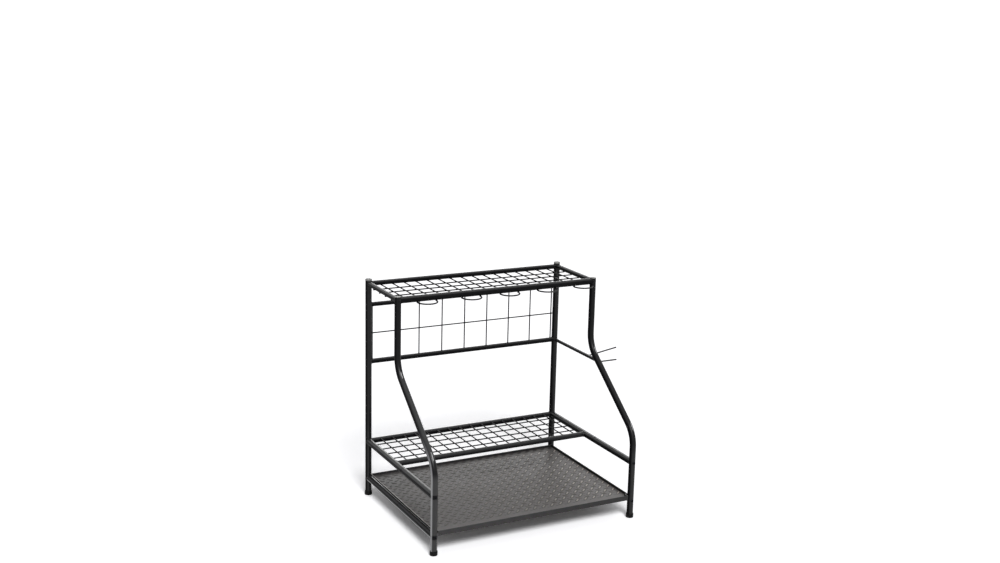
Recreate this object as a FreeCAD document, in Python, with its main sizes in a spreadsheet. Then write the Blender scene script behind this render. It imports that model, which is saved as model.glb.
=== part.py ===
import FreeCAD, Part
import math
import os
import Sketcher

doc = FreeCAD.newDocument("garden_tool_rack")
vector = FreeCAD.Vector

# Sizes in millimetres. X runs to the right along the front, Y to the back, Z up.
# The frame is measured between tube axes; heights are measured to the axes of the rails.
sizes = doc.addObject("Spreadsheet::Sheet", "Sizes")
values = [
    ("frame_width", "868", "between the axes of the left and right tubes"),
    ("frame_depth", "650", "from the front legs to the rear uprights"),
    ("top_shelf_depth", "298", "from the top front rail to the rear uprights"),
    ("lower_shelf_depth", "284", "from the shelf front rail to the rear uprights"),
    ("top_rail_height", "900", "the four rails around the upper grid"),
    ("second_rail_drop", "87", "upper rail of the back panel below the top rails"),
    ("panel_height", "238", "between the two rails of the back panel"),
    ("back_wire_drop", "118", "horizontal wire below the upper rail of the back panel"),
    ("upper_bend_rise", "51", "upper corner of the front tube above the third rear rail"),
    ("lower_bend_height", "351", "lower corner of the front tube"),
    ("shelf_height", "233", "lower grid and middle side rails"),
    ("tray_rail_height", "73", "side rails that carry the tray"),
    ("bend_radius", "112", "centre line radius of both bends"),
    ("tube_diameter", "26", "front tubes, uprights, front rail, middle side rails"),
    ("tube_wall", "1.2", "wall of every tube"),
    ("rail_diameter", "20", "top rear, top side and third rear rails"),
    ("shelf_rail_diameter", "22", "front and rear rails of the lower grid"),
    ("tray_rail_diameter", "22", "side rails that carry the tray"),
    ("thin_rail_diameter", "18", "second rear rail"),
    ("hook_rail_diameter", "14", "side hook rail"),
    ("wire_diameter", "5", "wires of the grids and the back panel"),
    ("grid_rise", "1", "lower long wires above the axes of the rails"),
    ("grid_overhang", "4", "upper long wires past the axes of the side rails"),
    ("back_wire_margin", "16", "first upright wire from the axis of the left upright"),
    ("back_wire_end", "22.4", "last upright wire from the axis of the right upright"),
    ("middle_joint", "281", "plug-in joint of the middle side rails from the front axis"),
    ("tray_joint", "320", "plug-in joint of the tray side rails from the front axis"),
    ("plug_length", "60", "length of a rail inside its other half"),
    ("plug_taper", "5", "length of the shoulder of the plug-in joint"),
    ("fit_clearance", "0.3", "between a plug and the bore around it"),
    ("loop_wire", "6", "wire of the tool loops and side hooks"),
    ("loop_half_width", "40", "half the width of a tool loop"),
    ("loop_straight", "5", "straight leg of a tool loop"),
    ("loop_first", "121", "first tool loop from the left tube"),
    ("loop_pitch", "169", "from one of the other tool loops to the next"),
    ("loop_margin", "50", "last tool loop from the right tube"),
    ("rear_hook_offset", "370", "rear side hook from the front axis"),
    ("rear_hook_reach", "140", "tip of the rear side hook from the rail axis"),
    ("rear_hook_rise", "22", "tip of the rear side hook above its root"),
    ("front_hook_offset", "284", "front side hook from the front axis"),
    ("front_hook_reach", "88", "tip of the front side hook from the tube axis"),
    ("hook_round", "2.4", "rounding of the hook tips"),
    ("foot_diameter", "33", "widest part of the rubber feet"),
    ("foot_height", "20", "rubber foot above the floor"),
    ("foot_floor", "6", "rubber under the tube"),
    ("foot_wall", "2.4", "rubber around the tube at the rim"),
    ("foot_chamfer", "1.5", "lower edge of the foot"),
    ("foot_band", "8", "height of the widest part of the foot"),
    ("foot_fit", "0.1", "between the tube and the foot"),
    ("cap_height", "7", "rear cap above the end of its tube"),
    ("cap_lip", "0.5", "rear cap beyond the tube"),
    ("plug_head", "2", "front end plug above the end of its tube"),
    ("stem_length", "16", "stem of the caps and end plugs"),
    ("cap_edge", "1.5", "rounding of the rim of caps and end plugs"),
    ("tray_sheet", "1.5", "sheet of the tray"),
    ("tray_rim", "10", "rim above the floor of the tray"),
    ("tray_apron", "9", "front flange below the floor of the tray"),
    ("tray_front", "6", "front flange ahead of the leg axes"),
    ("tray_side", "3", "tray edge inside the axes of the side rails"),
    ("tray_gap", "1.5", "between the tray and the legs"),
    ("bolt_diameter", "6", "leg bolts"),
    ("bolt_hole", "6.4", "holes in the front legs"),
    ("bolt_head", "11", "diameter of the button heads"),
    ("bolt_head_height", "3.5", "height of the button heads"),
    ("bolt_crown", "6", "flat crown of the button heads"),
    ("bolt_socket", "2.2", "inner radius of the hexagon sockets"),
    ("bolt_socket_depth", "2", "depth of the hexagon sockets"),
    ("bolt_length", "38", "shank from the face of the leg"),
    ("insert_length", "18", "threaded inserts in the rail ends"),
    ("insert_gap", "1.5", "between the leg and the insert"),
    ("thread_play", "0.1", "between the bolt and the insert"),
    ("grid_spaces", "17", "spaces between the short wires of a grid"),
    ("grid_rows", "5", "spaces between the long wires of a grid"),
    ("panel_spaces", "8", "spaces between the upright wires of the back panel"),
    ("second_rail_height", "=top_rail_height - second_rail_drop", "upper rail of the back panel"),
    ("third_rail_height", "=second_rail_height - panel_height", "lower panel rail, side hook rail"),
    ("back_wire_height", "=second_rail_height - back_wire_drop", "horizontal wire of the back panel"),
    ("upper_bend_height", "=third_rail_height + upper_bend_rise", "upper corner of the front tube"),
    ("left_axis", "=-(frame_width + rear_hook_reach - foot_diameter / 2) / 2", "x of the left tubes"),
    ("right_axis", "=left_axis + frame_width", "x of the right tubes"),
    ("front_axis", "=-frame_depth / 2", "y of the front legs"),
    ("rear_axis", "=frame_depth / 2", "y of the rear uprights"),
    ("top_front", "=rear_axis - top_shelf_depth", "y of the top front rail"),
    ("shelf_front", "=rear_axis - lower_shelf_depth", "y of the shelf front rail"),
    ("back_wire_pitch", "=(frame_width - back_wire_margin - back_wire_end) / panel_spaces",
     "from one upright wire of the back panel to the next"),
    ("lean_run", "=frame_depth - top_shelf_depth", "horizontal run of the leaning part"),
    ("lean_rise", "=upper_bend_height - lower_bend_height", "height of the leaning part"),
    ("lean_angle", "=atan(lean_run / lean_rise) / 1deg", "lean from upright in degrees"),
    ("bend_setback", "=bend_radius * tan(lean_angle * 1deg / 2)", "from a corner to its bend"),
    ("tube_end", "=top_rail_height + tube_diameter / 2", "height of the tube ends"),
    ("tube_bore", "=tube_diameter - 2 * tube_wall", "bore of the main tubes"),
    ("tray_bottom", "=tray_rail_height + tray_rail_diameter / 2", "underside of the tray"),
    ("leg_notch", "=tube_diameter / 2 + tray_gap", "tray corners cut out around the legs"),
]
for row, (alias, value, note) in enumerate(values, start=1):
    sizes.set(f"A{row}", alias)
    sizes.set(f"B{row}", value)
    sizes.set(f"C{row}", note)
    sizes.setAlias(f"B{row}", alias)
doc.recompute()

parts = []


def linked(expression):
    """Write the names of the sheet in an expression as references to the sheet."""
    result = ""
    word = ""
    for letter in expression + " ":
        if letter.isalnum() or letter == "_":
            word += letter
            continue
        result += f"Sizes.{word}" if "_" in word else word
        result += letter
        word = ""
    return result.strip()


def number(expression):
    """Value of an expression, used for the first position of sketch points."""
    value = sizes.evalExpression(linked(expression))
    return float(getattr(value, "Value", value))


def move(item, place):
    """Tie the position of an object to three expressions."""
    for axis, value in zip("xyz", place):
        item.setExpression(f"Placement.Base.{axis}", linked(value))


def finish(item, label):
    """Give a finished piece its name and keep it for export."""
    item.Label = label
    parts.append(item)
    return item


def origin_plane(body, role):
    """Origin plane of a body by its role."""
    return next(plane for plane in body.Origin.OriginFeatures if plane.Role == role)


def sketch_on(body, name, role, offset=None):
    """Empty sketch on an origin plane of the body, moved along the normal of the plane if asked."""
    sketch = body.newObject("Sketcher::SketchObject", name)
    sketch.AttachmentSupport = (origin_plane(body, role), [""])
    sketch.MapMode = "FlatFace"
    if offset is not None:
        sketch.setExpression("AttachmentOffset.Base.z", linked(offset))
    return sketch


def rule(sketch, kind, items, expression):
    """Dimension whose value follows an expression."""
    index = sketch.addConstraint(Sketcher.Constraint(kind, *items, number(expression)))
    sketch.setExpression(f"Constraints[{index}]", linked(expression))


def hold(sketch, geometry, end, place):
    """Place one point of a sketch at two expressions."""
    for kind, axis, value in (("DistanceX", -2, place[0]), ("DistanceY", -1, place[1])):
        if value == "0":
            sketch.addConstraint(Sketcher.Constraint("PointOnObject", geometry, end, axis))
        else:
            rule(sketch, kind, (-1, 1, geometry, end), value)


def polygon(sketch, corners):
    """Closed outline through corners given as pairs of expressions."""
    points = [vector(number(x), number(y), 0) for x, y in corners]
    count = len(points)
    for index in range(count):
        sketch.addGeometry(Part.LineSegment(points[index], points[(index + 1) % count]), False)
    for index in range(count):
        sketch.addConstraint(Sketcher.Constraint("Coincident", index, 2, (index + 1) % count, 1))
        hold(sketch, index, 1, corners[index])


def ring(sketch, radius, place=("0", "0")):
    """Circle with its centre at two expressions."""
    centre = vector(number(place[0]), number(place[1]), 0)
    index = sketch.addGeometry(Part.Circle(centre, vector(0, 0, 1), number(radius)), False)
    hold(sketch, index, 3, place)
    rule(sketch, "Radius", (index,), radius)


def arc(centre, radius, start, end):
    """Arc that runs anticlockwise between two angles."""
    return Part.ArcOfCircle(Part.Circle(centre, vector(0, 0, 1), radius), start, end)


TURNS = {"x": vector(1, 0, 0), "y": vector(0, 1, 0), "z": vector(0, 0, 1)}


def rod(name, direction, start, length, diameter):
    """Solid round bar along one axis from a start point."""
    bar = doc.addObject("Part::Cylinder", name)
    bar.Placement = FreeCAD.Placement(vector(), FreeCAD.Rotation(vector(0, 0, 1), TURNS[direction]))
    bar.setExpression("Radius", linked(f"({diameter}) / 2"))
    bar.setExpression("Height", linked(length))
    move(bar, start)
    return bar


def trimmed(name, piece, cutters):
    """Piece with every cutter taken away from it."""
    for index, cutter in enumerate(cutters, start=1):
        cut = doc.addObject("Part::Cut", f"{name}_trim_{index}")
        cut.Base = piece
        cut.Tool = cutter
        piece = cut
    return piece


def tube(name, direction, start, length, diameter, cutters):
    """Hollow straight tube whose ends are shaped by the cutters."""
    outside = rod(f"{name}_outside", direction, start, length, diameter)
    bore = rod(f"{name}_bore", direction, start, length, f"{diameter} - 2 * tube_wall")
    return trimmed(name, outside, [bore] + cutters)


def upright_cutter(name, side, depth="rear_axis"):
    """Round bar in the place of an upright tube, the shape of a saddle cut."""
    return rod(name, "z", (side, depth, "0"), "2 * top_rail_height", "tube_diameter")


def inner_cutter(name, side, depth, height, diameter):
    """Short bar in the place of a cross rail, from the tube axis towards the middle of the rack."""
    start = side if side == "left_axis" else f"{side} - tube_diameter"
    return rod(name, "x", (start, depth, height), "tube_diameter", diameter)


def cross_rail(label, depth, height, diameter):
    """Tube across the rack, its ends fitted as saddles to the two tubes beside it."""
    cutters = [upright_cutter(f"{label}_{side}", side, depth) for side in ("left_axis", "right_axis")]
    piece = tube(label, "x", ("left_axis", depth, height), "frame_width", diameter, cutters)
    return finish(piece, label)


# Front tubes. Each is one hollow tube swept along an upright, a leaning and an upright length
# with a tangent bend at both corners, and is drilled for the bolts of the side rails.
def front_tube_path(body, name):
    """Centre line of a front tube: five tangent elements whose corners lie at the bend heights."""
    path = sketch_on(body, name, "YZ_Plane")
    lean = math.radians(number("lean_angle"))
    setback = number("bend_setback")
    radius = number("bend_radius")
    slope = vector(math.sin(lean), math.cos(lean), 0)
    low = vector(0, number("lower_bend_height"), 0)
    high = vector(number("lean_run"), number("upper_bend_height"), 0)
    straight = vector(0, setback, 0)
    path.addGeometry(Part.LineSegment(vector(0, number("foot_floor"), 0), low - straight), False)
    centre = low - straight + vector(radius, 0, 0)
    path.addGeometry(arc(centre, radius, math.pi - lean, math.pi), False)
    path.addGeometry(Part.LineSegment(low + slope * setback, high - slope * setback), False)
    centre = high + straight - vector(radius, 0, 0)
    path.addGeometry(arc(centre, radius, -lean, 0), False)
    top = vector(high.x, number("tube_end"), 0)
    path.addGeometry(Part.LineSegment(high + straight, top), False)
    for joint in ((0, 2, 1, 2), (1, 1, 2, 1), (2, 2, 3, 1), (3, 2, 4, 1)):
        path.addConstraint(Sketcher.Constraint("Tangent", *joint))
    path.addConstraint(Sketcher.Constraint("Vertical", 0))
    path.addConstraint(Sketcher.Constraint("Vertical", 4))
    hold(path, 0, 1, ("0", "foot_floor"))
    rule(path, "DistanceY", (-1, 1, 0, 2), "lower_bend_height - bend_setback")
    rule(path, "Radius", (1,), "bend_radius")
    rule(path, "Radius", (3,), "bend_radius")
    rule(path, "DistanceY", (-1, 1, 4, 1), "upper_bend_height + bend_setback")
    hold(path, 4, 2, ("lean_run", "tube_end"))
    return path


def bent_tube(name, side, hollow):
    """Front tube swept along its centre line; a solid one serves as a cutter."""
    body = doc.addObject("PartDesign::Body", name)
    path = front_tube_path(body, f"{name}_path")
    section = sketch_on(body, f"{name}_section", "XY_Plane", "foot_floor")
    ring(section, "tube_diameter / 2")
    if hollow:
        ring(section, "tube_bore / 2")
    doc.recompute()
    sweep = body.newObject("PartDesign::AdditivePipe", f"{name}_sweep")
    sweep.Profile = section
    sweep.Spine = (path, [])
    move(body, (side, "front_axis", "0"))
    doc.recompute()
    return body


for label, side in (("front_tube_left", "left_axis"), ("front_tube_right", "right_axis")):
    leg = bent_tube(label, side, True)
    holes = sketch_on(leg, f"{label}_holes", "XZ_Plane")
    ring(holes, "bolt_hole / 2", ("0", "shelf_height"))
    ring(holes, "bolt_hole / 2", ("0", "tray_rail_height"))
    doc.recompute()
    drilled = leg.newObject("PartDesign::Pocket", f"{label}_drilled")
    drilled.Profile = holes
    drilled.Type = "Length"
    drilled.Midplane = True
    drilled.setExpression("Length", linked("2 * tube_diameter"))
    finish(leg, label)
bend_cutter = bent_tube("bend_cutter", "right_axis", False)


# Rear uprights and the rails between them. Every rail end is a saddle that fits its upright.
for label, side in (("rear_upright_left", "left_axis"), ("rear_upright_right", "right_axis")):
    place = (side, "rear_axis", "foot_floor")
    finish(tube(label, "z", place, "tube_end - foot_floor", "tube_diameter", []), label)

cross_rail("top_front_rail", "top_front", "top_rail_height", "tube_diameter")
cross_rail("top_rear_rail", "rear_axis", "top_rail_height", "rail_diameter")
cross_rail("second_rear_rail", "rear_axis", "second_rail_height", "thin_rail_diameter")
cross_rail("third_rear_rail", "rear_axis", "third_rail_height", "rail_diameter")
cross_rail("shelf_rear_rail", "rear_axis", "shelf_height", "shelf_rail_diameter")

side_bars = [
    rod(f"shelf_front_{side}", "y", (side, "front_axis", "shelf_height"), "frame_depth", "tube_diameter")
    for side in ("left_axis", "right_axis")
]
shelf_front = tube("shelf_front_rail", "x", ("left_axis", "shelf_front", "shelf_height"), "frame_width",
                   "shelf_rail_diameter", side_bars)
finish(shelf_front, "shelf_front_rail")

for label, side in (("top_side_rail_left", "left_axis"), ("top_side_rail_right", "right_axis")):
    cutters = [
        upright_cutter(f"{label}_front", side, "top_front"),
        upright_cutter(f"{label}_rear", side),
        inner_cutter(f"{label}_front_rail", side, "top_front", "top_rail_height", "tube_diameter"),
        inner_cutter(f"{label}_rear_rail", side, "rear_axis", "top_rail_height", "rail_diameter"),
    ]
    start = (side, "top_front", "top_rail_height")
    finish(tube(label, "y", start, "top_shelf_depth", "rail_diameter", cutters), label)


# Middle and tray side rails. The front half is a plain tube; the end of the rear half is drawn
# down to slide into it, and the shoulder shows as a narrow groove at the joint.
def rear_half(label, side, height, outer, joint, cutters):
    """Revolved tube with a drawn-down front end, fitted to the rear upright."""
    body = doc.addObject("PartDesign::Body", f"{label}_body")
    profile = sketch_on(body, f"{label}_profile", "YZ_Plane")
    inner = f"{outer} / 2 - tube_wall"
    plug = f"{inner} - fit_clearance"
    reach = f"frame_depth - {joint}"
    polygon(profile, [
        ("-plug_length", plug),
        ("0", plug),
        ("plug_taper", f"{outer} / 2"),
        (reach, f"{outer} / 2"),
        (reach, inner),
        ("plug_taper", inner),
        ("0", f"{plug} - tube_wall"),
        ("-plug_length", f"{plug} - tube_wall"),
    ])
    doc.recompute()
    turned = body.newObject("PartDesign::Revolution", f"{label}_turned")
    turned.Profile = profile
    turned.ReferenceAxis = (profile, ["H_Axis"])
    turned.Angle = 360
    move(body, (side, f"front_axis + {joint}", height))
    doc.recompute()
    return finish(trimmed(label, body, [upright_cutter(f"{label}_upright", side)] + cutters), label)


for word, side in (("left", "left_axis"), ("right", "right_axis")):
    label = f"middle_side_rail_front_{word}"
    start = (side, "front_axis", "shelf_height")
    cutter = upright_cutter(f"{label}_leg", side, "front_axis")
    finish(tube(label, "y", start, "middle_joint", "tube_diameter", [cutter]), label)

    label = f"middle_side_rail_rear_{word}"
    rear_rail = inner_cutter(f"{label}_shelf_rail", side, "rear_axis", "shelf_height",
                             "shelf_rail_diameter")
    rear_half(label, side, "shelf_height", "tube_diameter", "middle_joint", [rear_rail])

    label = f"tray_side_rail_front_{word}"
    start = (side, "front_axis", "tray_rail_height")
    cutter = upright_cutter(f"{label}_leg", side, "front_axis")
    finish(tube(label, "y", start, "tray_joint", "tray_rail_diameter", [cutter]), label)

    label = f"tray_side_rail_rear_{word}"
    rear_half(label, side, "tray_rail_height", "tray_rail_diameter", "tray_joint", [])


# Grids. The long wires run across the rack and the short wires lie on top of them.
def wires(label, direction, starts, length, cutters):
    """Group of parallel wires trimmed where they meet the rails."""
    bars = [
        rod(f"{label}_{index}", direction, start, length, "wire_diameter")
        for index, start in enumerate(starts, start=1)
    ]
    group = doc.addObject("Part::Compound", f"{label}_group")
    group.Links = bars
    return finish(trimmed(label, group, cutters), label)


spaces = int(number("grid_spaces"))
rows = int(number("grid_rows"))
columns = [f"left_axis + {index} * frame_width / grid_spaces" for index in range(1, spaces)]

upper_wire = "top_rail_height - rail_diameter / 2 - wire_diameter / 2"
starts = [
    ("left_axis - grid_overhang", f"top_front + {index} * top_shelf_depth / grid_rows", upper_wire)
    for index in range(1, rows)
]
wires("top_grid_long_wires", "x", starts, "frame_width + 2 * grid_overhang", [])
starts = [(column, "top_front", f"{upper_wire} + wire_diameter") for column in columns]
bars = [
    rod("top_grid_front_bar", "x", ("left_axis", "top_front", "top_rail_height"), "frame_width",
        "tube_diameter"),
    rod("top_grid_rear_bar", "x", ("left_axis", "rear_axis", "top_rail_height"), "frame_width",
        "rail_diameter"),
]
wires("top_grid_short_wires", "y", starts, "top_shelf_depth", bars)

lower_wire = "shelf_height + grid_rise"
starts = [
    ("left_axis", f"shelf_front + {index} * lower_shelf_depth / grid_rows", lower_wire)
    for index in range(1, rows)
]
wires("shelf_grid_long_wires", "x", starts, "frame_width", side_bars)
starts = [(column, "shelf_front", f"{lower_wire} + wire_diameter") for column in columns]
bars = [
    rod(f"shelf_grid_{place}", "x", ("left_axis", place, "shelf_height"), "frame_width",
        "shelf_rail_diameter")
    for place in ("shelf_front", "rear_axis")
]
wires("shelf_grid_short_wires", "y", starts, "lower_shelf_depth", bars)

# Back panel. Upright wires stand between the second and third rear rails; one wire crosses them
# in front and ends on the uprights.
starts = [
    (f"left_axis + back_wire_margin + {index} * back_wire_pitch", "rear_axis", "third_rail_height")
    for index in range(int(number("panel_spaces")) + 1)
]
bars = [
    rod("panel_third_bar", "x", ("left_axis", "rear_axis", "third_rail_height"), "frame_width",
        "rail_diameter"),
    rod("panel_second_bar", "x", ("left_axis", "rear_axis", "second_rail_height"), "frame_width",
        "thin_rail_diameter"),
]
wires("back_panel_upright_wires", "z", starts, "second_rail_height - third_rail_height", bars)
starts = [("left_axis", "rear_axis - wire_diameter", "back_wire_height")]
posts = [upright_cutter(f"panel_post_{side}", side) for side in ("left_axis", "right_axis")]
wires("back_panel_cross_wire", "x", starts, "frame_width", posts)


# Tool loops. Bows of round wire welded under the top front rail, open towards the rail. One leg of
# the last bow meets the right tube and is fitted to it as a saddle.
loop_names = ["far_left", "left", "middle", "right", "far_right"]
for index, word in enumerate(loop_names):
    label = f"tool_loop_{word}"
    loop = doc.addObject("PartDesign::Body", f"{label}_body")
    path = sketch_on(loop, f"{label}_path", "XY_Plane")
    half = number("loop_half_width")
    leg = number("loop_straight")
    path.addGeometry(Part.LineSegment(vector(-half, 0, 0), vector(-half, -leg, 0)), False)
    path.addGeometry(arc(vector(0, -leg, 0), half, math.pi, 2 * math.pi), False)
    path.addGeometry(Part.LineSegment(vector(half, -leg, 0), vector(half, 0, 0)), False)
    path.addConstraint(Sketcher.Constraint("Tangent", 0, 2, 1, 1))
    path.addConstraint(Sketcher.Constraint("Tangent", 1, 2, 2, 1))
    path.addConstraint(Sketcher.Constraint("Vertical", 0))
    hold(path, 0, 1, ("-loop_half_width", "0"))
    hold(path, 2, 2, ("loop_half_width", "0"))
    rule(path, "DistanceY", (-1, 1, 0, 2), "-loop_straight")
    rule(path, "DistanceY", (-1, 1, 2, 1), "-loop_straight")
    section = sketch_on(loop, f"{label}_section", "XZ_Plane")
    ring(section, "loop_wire / 2", ("-loop_half_width", "0"))
    doc.recompute()
    bow = loop.newObject("PartDesign::AdditivePipe", f"{label}_bow")
    bow.Profile = section
    bow.Spine = (path, [])
    steps = len(loop_names) - 1 - index
    centre = f"right_axis - loop_margin - {steps} * loop_pitch" if index else "left_axis + loop_first"
    move(loop, (
        centre,
        "top_front",
        "top_rail_height - tube_diameter / 2 - loop_wire / 2",
    ))
    doc.recompute()
    cutters = [upright_cutter(f"{label}_tube", "right_axis", "top_front")] if steps == 0 else []
    finish(trimmed(label, loop, cutters), label)


# Side hook rail and side hooks, on the right side only. The rail is fitted as a saddle to the
# leaning part of the bent front tube, and the front hook stands on that tube itself.
on_lean = "(third_rail_height - lower_bend_height) / lean_rise * lean_run"
hook_rail = tube("side_hook_rail", "y", ("right_axis", f"front_axis + {on_lean}", "third_rail_height"),
                 f"frame_depth - {on_lean}", "hook_rail_diameter", [
    bend_cutter,
    upright_cutter("side_hook_rail_upright", "right_axis"),
    inner_cutter("side_hook_rail_third", "right_axis", "rear_axis", "third_rail_height", "rail_diameter"),
])
finish(hook_rail, "side_hook_rail")


def side_hook(label, place, reach, rise, cutter):
    """Straight round wire with a rounded tip, tilted up by its rise and fitted to its carrier."""
    body = doc.addObject("PartDesign::Body", f"{label}_body")
    section = sketch_on(body, f"{label}_section", "YZ_Plane")
    ring(section, "loop_wire / 2")
    doc.recompute()
    wire = body.newObject("PartDesign::Pad", f"{label}_wire")
    wire.Profile = section
    wire.setExpression("Length", linked(f"sqrt(({reach}) ^ 2 + ({rise}) ^ 2)"))
    doc.recompute()
    rims = [
        f"Edge{number}" for number, edge in enumerate(wire.Shape.Edges, start=1)
        if edge.BoundBox.XMin > wire.Shape.BoundBox.XMax - 1
    ]
    tip = body.newObject("PartDesign::Fillet", f"{label}_tip")
    tip.Base = (wire, rims)
    tip.setExpression("Radius", linked("hook_round"))
    body.Placement = FreeCAD.Placement(vector(), FreeCAD.Rotation(vector(0, -1, 0), 5))
    body.setExpression("Placement.Rotation.Angle", linked(f"atan(({rise}) / ({reach}))"))
    move(body, place)
    doc.recompute()
    return finish(trimmed(label, body, [cutter]), label)


carrier = rod("side_hook_carrier", "y", ("right_axis", "front_axis", "third_rail_height"), "frame_depth",
              "hook_rail_diameter")
root = ("right_axis", "front_axis + rear_hook_offset", "third_rail_height")
side_hook("side_hook_rear", root, "rear_hook_reach", "rear_hook_rise", carrier)
lean_height = "lower_bend_height + lean_rise * front_hook_offset / lean_run"
root = ("right_axis", "front_axis + front_hook_offset", lean_height)
side_hook("side_hook_front", root, "front_hook_reach", "0 * front_hook_reach", bend_cutter)


# Tray. A pan of sheet between the legs that rests on the side rails: raised rim all round,
# corners notched around the front legs and a front flange that reaches below the floor.
tray = doc.addObject("PartDesign::Body", "tray")


def pan_outline(inset):
    """Corners of the tray plan, moved inwards by an expression."""
    notch = f"leg_notch + {inset}"
    side = f"tray_side + {inset}"
    return [
        (notch, f"-tray_front + {inset}"),
        (f"frame_width - ({notch})", f"-tray_front + {inset}"),
        (f"frame_width - ({notch})", notch),
        (f"frame_width - ({side})", notch),
        (f"frame_width - ({side})", f"frame_depth - ({notch})"),
        (side, f"frame_depth - ({notch})"),
        (side, notch),
        (notch, notch),
    ]


plan = sketch_on(tray, "tray_plan", "XY_Plane")
polygon(plan, pan_outline("0 * tray_sheet"))
doc.recompute()
block = tray.newObject("PartDesign::Pad", "tray_block")
block.Profile = plan
block.setExpression("Length", linked("tray_rim + tray_sheet"))
doc.recompute()
hollow = sketch_on(tray, "tray_hollow", "XY_Plane", "tray_sheet")
polygon(hollow, pan_outline("tray_sheet"))
doc.recompute()
pan = tray.newObject("PartDesign::Pocket", "tray_pan")
pan.Profile = hollow
pan.Type = "Length"
pan.Reversed = True
pan.setExpression("Length", linked("2 * tray_rim"))
doc.recompute()
lip = sketch_on(tray, "tray_lip", "XY_Plane")
polygon(lip, [
    ("leg_notch", "-tray_front"),
    ("frame_width - leg_notch", "-tray_front"),
    ("frame_width - leg_notch", "-tray_front + tray_sheet"),
    ("leg_notch", "-tray_front + tray_sheet"),
])
doc.recompute()
flange = tray.newObject("PartDesign::Pad", "tray_flange")
flange.Profile = lip
flange.Reversed = True
flange.setExpression("Length", linked("tray_apron"))
move(tray, ("left_axis", "front_axis", "tray_bottom"))
finish(tray, "tray")


# Turned pieces: rubber feet, rear caps and front end plugs.
def turned(label, place, corners):
    """Body revolved about its upright axis from a half outline of radius and height."""
    body = doc.addObject("PartDesign::Body", label)
    profile = sketch_on(body, f"{label}_profile", "XZ_Plane")
    polygon(profile, corners)
    doc.recompute()
    spin = body.newObject("PartDesign::Revolution", f"{label}_spin")
    spin.Profile = profile
    spin.ReferenceAxis = (profile, ["V_Axis"])
    spin.Angle = 360
    move(body, place)
    doc.recompute()
    return finish(body, label)


rim = "tube_diameter / 2 + foot_fit"
foot = [
    ("0", "0"),
    ("foot_diameter / 2 - foot_chamfer", "0"),
    ("foot_diameter / 2", "foot_chamfer"),
    ("foot_diameter / 2", "foot_band"),
    (f"{rim} + foot_wall", "foot_height"),
    (rim, "foot_height"),
    (rim, "foot_floor"),
    ("0", "foot_floor"),
]
for word, depth in (("front", "front_axis"), ("rear", "rear_axis")):
    for hand, side in (("left", "left_axis"), ("right", "right_axis")):
        turned(f"foot_{word}_{hand}", (side, depth, "0"), foot)


def closure(head, lip):
    """Half outline of a closure: a stem in the tube under a head with a bevelled rim."""
    return [
        ("0", "-stem_length"),
        ("tube_bore / 2", "-stem_length"),
        ("tube_bore / 2", "0"),
        (f"tube_diameter / 2 + {lip}", "0"),
        (f"tube_diameter / 2 + {lip}", f"{head} - cap_edge"),
        (f"tube_diameter / 2 + {lip} - cap_edge", head),
        ("0", head),
    ]


for hand, side in (("left", "left_axis"), ("right", "right_axis")):
    turned(f"rear_upright_cap_{hand}", (side, "rear_axis", "tube_end"), closure("cap_height", "cap_lip"))
    turned(f"front_tube_plug_{hand}", (side, "top_front", "tube_end"),
           closure("plug_head", "0 * cap_lip"))


# Leg bolts and inserts. Four button-head bolts pass through the front legs into threaded
# inserts that sit in the front ends of the side rails.
def leg_bolt(name, side, height):
    """Bolt along Y: revolved head and shank with a hexagon socket."""
    bolt = doc.addObject("PartDesign::Body", name)
    profile = sketch_on(bolt, f"{name}_profile", "YZ_Plane")
    polygon(profile, [
        ("-bolt_head_height", "0"),
        ("-bolt_head_height", "bolt_crown / 2"),
        ("-bolt_head_height / 4", "bolt_head / 2"),
        ("0", "bolt_head / 2"),
        ("0", "bolt_diameter / 2"),
        ("bolt_length", "bolt_diameter / 2"),
        ("bolt_length", "0"),
    ])
    doc.recompute()
    shape = bolt.newObject("PartDesign::Revolution", f"{name}_shape")
    shape.Profile = profile
    shape.ReferenceAxis = (profile, ["H_Axis"])
    shape.Angle = 360
    doc.recompute()
    socket = sketch_on(bolt, f"{name}_socket", "XZ_Plane", "bolt_head_height")
    corner = "bolt_socket / cos(30)"
    polygon(socket, [
        (f"{corner} / 2", "bolt_socket"),
        (f"-{corner} / 2", "bolt_socket"),
        (f"-{corner}", "0"),
        (f"-{corner} / 2", "-bolt_socket"),
        (f"{corner} / 2", "-bolt_socket"),
        (corner, "0"),
    ])
    doc.recompute()
    recess = bolt.newObject("PartDesign::Pocket", f"{name}_recess")
    recess.Profile = socket
    recess.Type = "Length"
    recess.setExpression("Length", linked("bolt_socket_depth"))
    move(bolt, (side, "front_axis - tube_diameter / 2", height))
    doc.recompute()
    return bolt


bolts = []
for word, height in (("middle", "shelf_height"), ("tray", "tray_rail_height")):
    for hand, side in (("left", "left_axis"), ("right", "right_axis")):
        bolts.append(leg_bolt(f"leg_bolt_{word}_{hand}", side, height))
bolt_group = doc.addObject("Part::Compound", "leg_bolts")
bolt_group.Links = bolts
finish(bolt_group, "leg_bolts")

for word, height, outer in (
    ("middle", "shelf_height", "tube_diameter"),
    ("tray", "tray_rail_height", "tray_rail_diameter"),
):
    inserts = []
    for hand, side in (("left", "left_axis"), ("right", "right_axis")):
        start = (side, "front_axis + tube_diameter / 2 + insert_gap", height)
        name = f"{word}_insert_{hand}"
        collar = rod(f"{name}_collar", "y", start, "insert_length", f"{outer} - 2 * tube_wall")
        thread = rod(f"{name}_thread", "y", start, "insert_length", "bolt_diameter + 2 * thread_play")
        inserts.append(trimmed(name, collar, [thread]))
    group = doc.addObject("Part::Compound", f"{word}_rail_inserts")
    group.Links = inserts
    finish(group, f"{word}_rail_inserts")

doc.recompute()

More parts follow.
